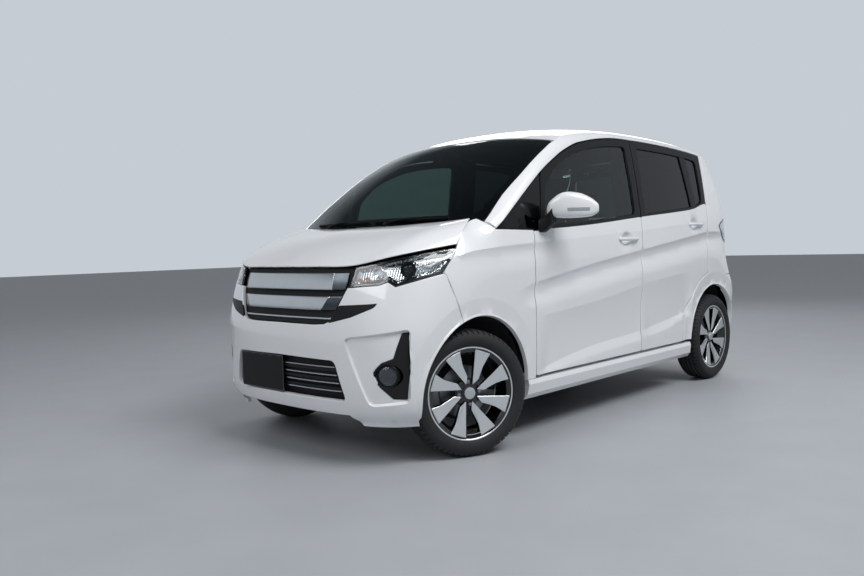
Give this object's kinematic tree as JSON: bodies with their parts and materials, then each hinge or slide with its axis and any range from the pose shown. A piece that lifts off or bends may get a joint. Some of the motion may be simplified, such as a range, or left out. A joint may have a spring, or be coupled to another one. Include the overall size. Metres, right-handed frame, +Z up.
{
  "type": "small hatchback car",
  "caption": "Small tall five-door hatchback with swinging doors, lifting bonnet and tailgate, steered front wheels, hollow cabin with seats.",
  "frame": {"origin": "on the ground, midway along and across the car", "axes": "+X forward, +Y to the left side, +Z up"},
  "size_m": [3.3938, 1.8966, 1.618],
  "materials": {
    "white_paint": "gloss pearl",
    "body_grey": "satin primer",
    "black_plastic": "grained",
    "gloss_black": "gloss",
    "clear_glass": "clear",
    "dark_glass": "tinted",
    "bright_trim": "bright",
    "lamp_clear": "clear lens",
    "lamp_red": "red lens",
    "alloy": "machined",
    "tyre": "matte",
    "steel": "bare",
    "iron": "cast",
    "trim_grey": "grained",
    "seat_cloth": "woven"
  },
  "bodies": {
    "body": {"floor_pan": "body_grey", "bulkhead": "body_grey", "sills": "white_paint", "pillars": "body_grey", "door_hinges": "steel", "cant_rails": "white_paint", "rear_header": "body_grey", "quarter_panels": "white_paint", "front_fenders": "white_paint", "wheel_liners": "black_plastic", "roof_panel": "white_paint", "windscreen": "clear_glass", "scuttle": "black_plastic", "quarter_panes": "dark_glass", "wipers": "black_plastic", "front_bumper": "white_paint", "grille_backing": "gloss_black", "grille_bars": "bright_trim", "headlamps": "lamp_clear", "fog_lamps": "gloss_black", "number_plate": "gloss_black", "rear_bumper": "white_paint", "tail_lamps": "lamp_red", "dashboard": "trim_grey", "front_seats": "seat_cloth", "rear_seat": "seat_cloth", "powertrain": "iron", "front_suspension": "iron", "rear_axle": "iron", "fuel_tank": "black_plastic", "exhaust": "steel"},
    "bonnet": {"bonnet": "white_paint"},
    "tailgate": {"tailgate": "white_paint", "tailgate_glass": "dark_glass"},
    "front_door_left": {"front_door_left": "white_paint", "front_glass_left": "clear_glass", "mirror_left": "white_paint"},
    "front_door_right": {"front_door_right": "white_paint", "front_glass_right": "clear_glass", "mirror_right": "white_paint"},
    "rear_door_left": {"rear_door_left": "white_paint", "rear_glass_left": "dark_glass"},
    "rear_door_right": {"rear_door_right": "white_paint", "rear_glass_right": "dark_glass"},
    "knuckle_left": {"knuckle_left": "iron"},
    "knuckle_right": {"knuckle_right": "iron"},
    "steering_wheel": {"steering_wheel": "trim_grey"},
    "wheel_front_left": {"wheel_front_left": "alloy", "tyre_front_left": "tyre"},
    "wheel_front_right": {"wheel_front_right": "alloy", "tyre_front_right": "tyre"},
    "wheel_rear_left": {"wheel_rear_left": "alloy", "tyre_rear_left": "tyre"},
    "wheel_rear_right": {"wheel_rear_right": "alloy", "tyre_rear_right": "tyre"}
  },
  "joints": [
    {"name": "steer_left", "type": "hinge", "parent": "body", "child": "knuckle_left", "pos_m": [1.1525, 0.6, 0.281], "axis": [0, 0, 1], "range_deg": [-12, 58]},
    {"name": "steer_right", "type": "hinge", "parent": "body", "child": "knuckle_right", "pos_m": [1.1525, -0.6, 0.281], "axis": [0, 0, 1], "range_deg": [-12, 58]},
    {"name": "steering_wheel_turn", "type": "hinge", "parent": "body", "child": "steering_wheel", "pos_m": [0.52, -0.33, 0.9], "axis": [-0.8988, 0, 0.4384], "range_deg": [-168, 812]},
    {"name": "wheel_front_left_spin", "type": "hinge", "parent": "knuckle_left", "child": "wheel_front_left", "pos_m": [1.17204, 0.64602, 0.281], "axis": [0.3907, 0.9205, 0], "continuous": true},
    {"name": "wheel_front_right_spin", "type": "hinge", "parent": "knuckle_right", "child": "wheel_front_right", "pos_m": [1.13296, -0.64602, 0.281], "axis": [0.3907, 0.9205, 0], "continuous": true},
    {"name": "wheel_rear_left_spin", "type": "hinge", "parent": "body", "child": "wheel_rear_left", "pos_m": [-1.2775, 0.645, 0.281], "axis": [0, 1, 0], "continuous": true},
    {"name": "wheel_rear_right_spin", "type": "hinge", "parent": "body", "child": "wheel_rear_right", "pos_m": [-1.2775, -0.645, 0.281], "axis": [0, 1, 0], "continuous": true},
    {"name": "front_door_left_swing", "type": "hinge", "parent": "body", "child": "front_door_left", "pos_m": [0.7005, 0.71568, 0.6], "axis": [0, 0, -1], "range_deg": [0, 70]},
    {"name": "rear_door_left_swing", "type": "hinge", "parent": "body", "child": "rear_door_left", "pos_m": [-0.3375, 0.70991, 0.6], "axis": [0, 0, -1], "range_deg": [0, 70]},
    {"name": "front_door_right_swing", "type": "hinge", "parent": "body", "child": "front_door_right", "pos_m": [0.7005, -0.71568, 0.6], "axis": [0, 0, 1], "range_deg": [0, 70]},
    {"name": "rear_door_right_swing", "type": "hinge", "parent": "body", "child": "rear_door_right", "pos_m": [-0.3375, -0.70991, 0.6], "axis": [0, 0, 1], "range_deg": [0, 70]},
    {"name": "bonnet_lift", "type": "hinge", "parent": "body", "child": "bonnet", "pos_m": [1.0825, 0, 1.022], "axis": [0, -1, 0], "range_deg": [0, 50]},
    {"name": "tailgate_lift", "type": "hinge", "parent": "body", "child": "tailgate", "pos_m": [-1.4395, 0, 1.516], "axis": [0, 1, 0], "range_deg": [0, 80]}
  ],
  "couplings": [
    {"joint": "steer_right", "follows": "steer_left", "ratio": 1},
    {"joint": "steering_wheel_turn", "follows": "steer_left", "ratio": 14}
  ]
}
